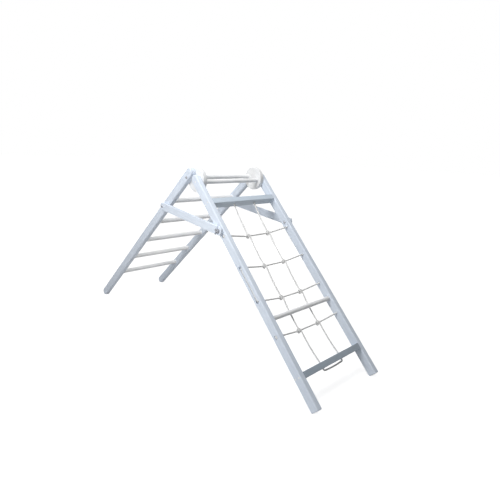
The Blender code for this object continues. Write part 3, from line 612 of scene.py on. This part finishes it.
def cross_rope_route():
    """The cross rope from knot to knot, as points with the radius at each."""
    knot_x = OUTER - POCKET_DEPTH + GAP
    course = []
    way = 1
    for row in range(ROW_COUNT):
        course += row_points(row, way)
        if row < ROW_COUNT - 1:
            course += outer_run(row, way)
        way = -way
    return [*reversed(knot(net_point(-knot_x, ROW_STATIONS[0]), LEFT)),
            *((point, ROPE_RADIUS) for point in course),
            *knot(net_point(-knot_x, ROW_STATIONS[-1]), LEFT)]


def wrap(column, row):
    """Round turn of a long rope about the cross rope, moving aside as it goes."""
    station = ROW_STATIONS[row] + ROW_DROP
    points = []
    for step in range(WRAP_POINTS + 1):
        share = step / WRAP_POINTS
        turn = 2 * math.pi * share
        points.append(net_point(column + WRAP_SHIFT * (share - 1 / 2),
                                station + WRAP_RADIUS * math.sin(turn),
                                -NET_SAG + WRAP_RADIUS * math.cos(turn)))
    return points


def column_points(column):
    """One column of the long rope, from the top board down through the bottom board."""
    points = [net_point(column, TOP_BOARD_STATION - GAP), net_point(column, NET_TOP)]
    for row in range(ROW_COUNT):
        turn = wrap(column, row)
        points += line(points[-1], turn[0], STRAND_DIP)
        points += turn
    entry = net_point(column, BOTTOM_BOARD_STATION)
    points += line(points[-1], entry, STRAND_DIP)
    return [*points, entry, net_point(column, BOTTOM_BOARD_STATION + STOCK_THICK + GAP)]


def loop_points():
    """Loop of the long rope under the bottom board, from one hole to the other."""
    low = BOTTOM_BOARD_STATION + STOCK_THICK + GAP
    deep = low + LOOP_REACH - LOOP_BULGE - ROPE_RADIUS
    quarter = []
    for step in range(BEND_POINTS + 1):
        turn = math.pi / 2 * step / BEND_POINTS
        quarter.append((COLUMN - LOOP_BEND * (1 - math.cos(turn)),
                        deep - LOOP_BEND * (1 - math.sin(turn))))
    left = [net_point(-x, station) for x, station in quarter]
    right = [net_point(x, station) for x, station in reversed(quarter)]
    width = COLUMN - LOOP_BEND
    middle = []
    for step in range(1, STRAND_POINTS):
        share = step / STRAND_POINTS
        middle.append(net_point(width * (2 * share - 1), deep + LOOP_BULGE * arch(share)))
    return left + middle + right


def long_rope_route():
    """The long rope from knot to knot, as points with the radius at each."""
    left = column_points(-COLUMN)
    right = column_points(COLUMN)
    course = [*left, *loop_points(), *reversed(right)]
    return [*reversed(knot(left[0] - DOWN * GAP, -DOWN)),
            *((point, ROPE_RADIUS) for point in course),
            *knot(right[0] - DOWN * GAP, -DOWN)]


# Twisted ropes: three strands laid together and swept along those courses

# Distance between a rope's sections, and the length of rope in one full turn of its lay
SECTION_STEP = 0.0025
ROPE_PITCH = 0.032

# A strand's radius as a share of the rope's, the turns at which each strand's outline is drawn,
# the share of the grooves' full depth that is shown, and how strongly painted shade is marked in
# them
STRANDS = 3
STRAND_SHARE = 0.464
STRAND_TURNS = tuple(math.radians(turn) for turn in (-50, -30, -10, 10, 30, 50))
LAY_DEPTH = 0.24
GROOVE_SHADE_STRENGTH = 2


def smooth_route(route):
    """The route as close points on a smooth curve, with the radius at each."""
    points = [point for point, _ in route]
    radii = [radius for _, radius in route]
    spans = [(points[index + 1] - points[index]).length for index in range(len(points) - 1)]
    tangents = []
    for index in range(len(points)):
        low, high = max(index - 1, 0), min(index + 1, len(points) - 1)
        tangents.append((points[high] - points[low]) / sum(spans[low:high]))
    smoothed = []
    for index, span in enumerate(spans):
        count = max(1, math.ceil(span / SECTION_STEP))
        for step in range(count):
            share = step / count
            square, cube = share ** 2, share ** 3
            place = (points[index] * (2 * cube - 3 * square + 1)
                     + tangents[index] * span * (cube - 2 * square + share)
                     + points[index + 1] * (3 * square - 2 * cube)
                     + tangents[index + 1] * span * (cube - square))
            radius = radii[index] + (radii[index + 1] - radii[index]) * share
            smoothed.append((place, radius))
    return [*smoothed, route[-1]]


def strand_profile():
    """Outline of three strands laid together: (angle, radius share, groove depth) round it."""
    center = 1 - STRAND_SHARE
    outline = []
    for strand in range(STRANDS):
        for turn in STRAND_TURNS:
            across = center * math.sin(turn)
            reach = center * math.cos(turn) + math.sqrt(STRAND_SHARE ** 2 - across ** 2)
            groove_depth_and_shade = 1 - reach
            outline.append((2 * math.pi * strand / STRANDS + turn, 1 - groove_depth_and_shade * LAY_DEPTH,
                            groove_depth_and_shade))
    return outline


def tube_faces(rings, sides, first=0):
    """Quads round a tube of rings. The first ring's first corner has the given index."""
    faces = []
    for ring in range(rings - 1):
        start = first + ring * sides
        for corner in range(sides):
            after = (corner + 1) % sides
            faces.append((start + corner, start + after, start + sides + after,
                          start + sides + corner))
    return faces


def rope_skin(path, profile):
    """Points of a rope's skin, each one's painted groove shade, and its distance along the rope.
    """
    verts, groove_painted_shade, lays = [], [], []
    walked, twist = 0.0, 0.0
    normal = None
    for index, (place, radius) in enumerate(path):
        ahead = path[min(index + 1, len(path) - 1)][0] - path[max(index - 1, 0)][0]
        tangent = ahead.normalized()
        if normal is None:
            normal = tangent.orthogonal()
        normal = (normal - tangent * normal.dot(tangent)).normalized()
        side = tangent.cross(normal)
        if index:
            stride = (place - path[index - 1][0]).length
            walked += stride
            twist += 2 * math.pi * stride / ROPE_PITCH * (radius / ROPE_RADIUS)
        for angle, share, groove_depth_and_shade in profile:
            turned = angle + twist
            verts.append(place + radius * share * (normal * math.cos(turned)
                                                   + side * math.sin(turned)))
            groove_painted_shade.append(groove_depth_and_shade * GROOVE_SHADE_STRENGTH)
            lays.append(walked)
    return verts, groove_painted_shade, lays


def twisted_rope(name, route, body, node):
    """Three-strand rope swept along a route, with its lay in a UV map and painted shade in its
    grooves.
    """
    path = smooth_route(route)
    profile = strand_profile()
    verts, groove_painted_shade, lays = rope_skin(path, profile)
    sides = len(profile)
    last = (len(path) - 1) * sides
    faces = tube_faces(len(path), sides)
    faces += [tuple(reversed(range(sides))), tuple(range(last, last + sides))]
    mesh = bpy.data.meshes.new(name)
    mesh.from_pydata(verts, [], faces)
    # The painted groove shade is stored on the mesh for the rope's material
    mesh.attributes.new("groove_depth_and_shade", "FLOAT", "POINT").data.foreach_set("value", groove_painted_shade)
    lay_map = mesh.uv_layers.new(name="lay")
    for loop in mesh.loops:
        around = (loop.vertex_index % sides) / sides
        lay_map.data[loop.index].uv = (lays[loop.vertex_index], around)
    mesh.materials.append(ROPE)
    mesh.shade_smooth()
    piece = place_object(name, mesh)
    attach(piece, body)
    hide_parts(node)


twisted_rope("cross_rope_laid", cross_rope_route(), "front_frame", "cross_rope")
twisted_rope("long_rope_laid", long_rope_route(), "front_frame", "long_rope")


# Clamp bolts with a rolled thread outside the rail

DOME_RADIUS = 0.010
DOME_HEIGHT = 0.005
DOME_STEPS = 6
BOLT_RADIUS = 0.004
BOLT_SIDES = 24

# The thread's size, its rings to a turn, and the chamfer at the bolt's end
THREAD_PITCH = 0.00125
THREAD_DEPTH = 0.0007
THREAD_RINGS = 8
THREAD_END = 0.0008


def thread_depth(along, share):
    """How far a ring's point lies below the crest, at a place along the bolt and round it."""
    phase = (along / THREAD_PITCH - share) % 1
    return THREAD_DEPTH * abs(1 - 2 * phase)


def bolt_rings(rail, end):
    """Rings from the dome's pole to the bolt's end: (place along it, radius, threaded or not).

    The thread starts where the bolt leaves the rail.
    """
    rings = []
    for step in range(1, DOME_STEPS + 1):
        turn = math.pi / 2 * (1 - step / DOME_STEPS)
        rings.append((DOME_HEIGHT * (1 - math.sin(turn)), DOME_RADIUS * math.cos(turn), False))
    rings += [(DOME_HEIGHT, BOLT_RADIUS, False), (rail, BOLT_RADIUS, False)]
    thread = end - THREAD_END - rail
    count = round(thread / THREAD_PITCH * THREAD_RINGS)
    for step in range(1, count + 1):
        rings.append((rail + thread * step / count, BOLT_RADIUS, True))
    return [*rings, (end, BOLT_RADIUS - THREAD_END, False)]


def threaded_bolt(node):
    """Domed bolt in a rail, with its thread cut as geometry."""
    low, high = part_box(node)
    side = 1 if high.x > 0 else -1
    pole = low.x if side > 0 else high.x
    middle = (low + high) / 2
    verts = [(pole, middle.y, middle.z)]
    rings = bolt_rings(OUTER - abs(pole), high.x - low.x)
    for along, radius, threaded in rings:
        for corner in range(BOLT_SIDES):
            share = corner / BOLT_SIDES
            reach = radius - thread_depth(along, share) if threaded else radius
            turn = 2 * math.pi * share
            verts.append((pole + side * along, middle.y + side * reach * math.cos(turn),
                          middle.z + reach * math.sin(turn)))
    last = 1 + (len(rings) - 1) * BOLT_SIDES
    faces = [(0, 1 + (corner + 1) % BOLT_SIDES, 1 + corner) for corner in range(BOLT_SIDES)]
    faces += tube_faces(len(rings), BOLT_SIDES, 1)
    faces.append(tuple(range(last, last + BOLT_SIDES)))
    mesh = bpy.data.meshes.new(node + "_threaded")
    mesh.from_pydata(verts, [], faces)
    mesh.materials.append(ZINC)
    piece = place_object(node + "_threaded", mesh)
    finish_shading(piece)
    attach(piece, "front_frame")
    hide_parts(node)


threaded_bolt("clamp_bolt_left")
threaded_bolt("clamp_bolt_right")


# Studio: a pale floor, a white world, soft lamps and the camera

FLOOR_SIZE = 60.0
FLOOR_DEEP = (0.56, 0.56, 0.56)
FLOOR_PALE = (0.58, 0.58, 0.58)
FLOOR_ROUGHNESS = 0.95

# The floor's own glow for rays that see it directly, up to one distance and beyond another
FLOOR_NEAR = 1.6
FLOOR_FAR = 5.0
FLOOR_GLOW_NEAR = 0.77
FLOOR_GLOW_FAR = 0.98

# Light of the world on the object, where 1 is the white that shows
AMBIENT = 0.25

# Each lamp's place, the point that it faces, the side of its square panel, and its watts
LAMPS = {
    "key": ((-1.8, -0.45, 1.9), (0, -0.1, 0.6), 0.7, 21),
    "front": ((-2.2, -0.9, 0.9), (0, -0.3, 0.6), 0.9, 8.5),
    "top": ((-0.2, -0.5, 2.8), (0, -0.1, 0.5), 1.0, 22),
    "fill": ((2.2, 1.8, 0.9), (0, 0, 0.5), 1.4, 12),
    "back": ((-0.4, 2.6, 1.5), (0, 0, 0.5), 1.4, 7),
}

# The photograph's camera, with its lens and sensor in millimetres
CAMERA_PLACE = (-1.8180, -2.1557, 1.2609)
CAMERA_YAW = math.radians(45.0358)
CAMERA_PITCH = math.radians(-14.1031)
CAMERA_ROLL = math.radians(2.482)
CAMERA_LENS = 30.40
CAMERA_SENSOR = 36.0
CAMERA_SHIFT_X = -0.0022
CAMERA_SHIFT_Y = 0.0069


def seen_directly(tree):
    """1 for rays from the camera and for mirrored or transmitted ones, 0 for diffuse light."""
    path = add(tree, "ShaderNodeLightPath").outputs
    mirrored = combine(tree, "MAXIMUM", path["Is Camera Ray"], path["Is Glossy Ray"])
    return combine(tree, "MAXIMUM", mirrored, path["Is Transmission Ray"])


def floor():
    """Plain pale floor that shows near white and keeps the contact shadows."""
    mesh = bpy.data.meshes.new("floor")
    work = bmesh.new()
    bmesh.ops.create_grid(work, x_segments=1, y_segments=1, size=FLOOR_SIZE / 2)
    work.to_mesh(mesh)
    work.free()
    material, tree, shader = new_material("floor")
    place = object_place(tree)
    mottle = noise(tree, "floor", place)
    color = mix_colors(tree, spread(tree, mottle), FLOOR_DEEP, FLOOR_PALE)
    tree.links.new(color, shader.inputs["Base Color"])
    shader.inputs["Roughness"].default_value = FLOOR_ROUGHNESS
    shader.inputs["Specular IOR Level"].default_value = 0
    shader.inputs["Emission Color"].default_value = (1, 1, 1, 1)
    reach = vector_math(tree, "LENGTH", place)
    glow = spread(tree, reach, FLOOR_GLOW_NEAR, FLOOR_GLOW_FAR, FLOOR_NEAR, FLOOR_FAR)
    shown = combine(tree, "MULTIPLY", glow, seen_directly(tree))
    tree.links.new(shown, shader.inputs["Emission Strength"])
    mesh.materials.append(material)
    place_object("floor", mesh)


def white_world():
    """World that shows white and lights the object at a low, even level."""
    world = bpy.data.worlds.new("studio")
    world.use_nodes = True
    tree = world.node_tree
    background = tree.nodes["Background"]
    background.inputs["Color"].default_value = (1, 1, 1, 1)
    strength = spread(tree, seen_directly(tree), AMBIENT, 1, 0, 1)
    tree.links.new(strength, background.inputs["Strength"])
    bpy.context.scene.world = world


def area_light(name, place, target, size, power):
    """Square lamp that faces a point and that the camera doesn't see."""
    data = bpy.data.lights.new(name, "AREA")
    data.size = size
    data.energy = power
    light = place_object(name, data)
    light.location = place
    light.rotation_euler = (Vector(target) - Vector(place)).to_track_quat("-Z", "Y").to_euler()
    light.visible_camera = False


def photo_camera():
    """Camera where the photograph's camera stood, turned by its yaw, pitch and roll."""
    data = bpy.data.cameras.new("camera")
    data.sensor_width = CAMERA_SENSOR
    data.lens = CAMERA_LENS
    data.shift_x = CAMERA_SHIFT_X
    data.shift_y = CAMERA_SHIFT_Y
    camera = place_object("camera", data)
    ahead = Vector((math.sin(CAMERA_YAW) * math.cos(CAMERA_PITCH),
                    math.cos(CAMERA_YAW) * math.cos(CAMERA_PITCH), math.sin(CAMERA_PITCH)))
    level = Vector((math.cos(CAMERA_YAW), -math.sin(CAMERA_YAW), 0))
    upright = level.cross(ahead)
    right = level * math.cos(CAMERA_ROLL) + upright * math.sin(CAMERA_ROLL)
    top = upright * math.cos(CAMERA_ROLL) - level * math.sin(CAMERA_ROLL)
    turn = Matrix((right, top, -ahead)).transposed()
    camera.matrix_world = Matrix.Translation(CAMERA_PLACE) @ turn.to_4x4()
    bpy.context.scene.camera = camera


white_world()
floor()
for name, settings in LAMPS.items():
    area_light(name, *settings)
photo_camera()
bpy.context.scene.view_settings.view_transform = "Standard"
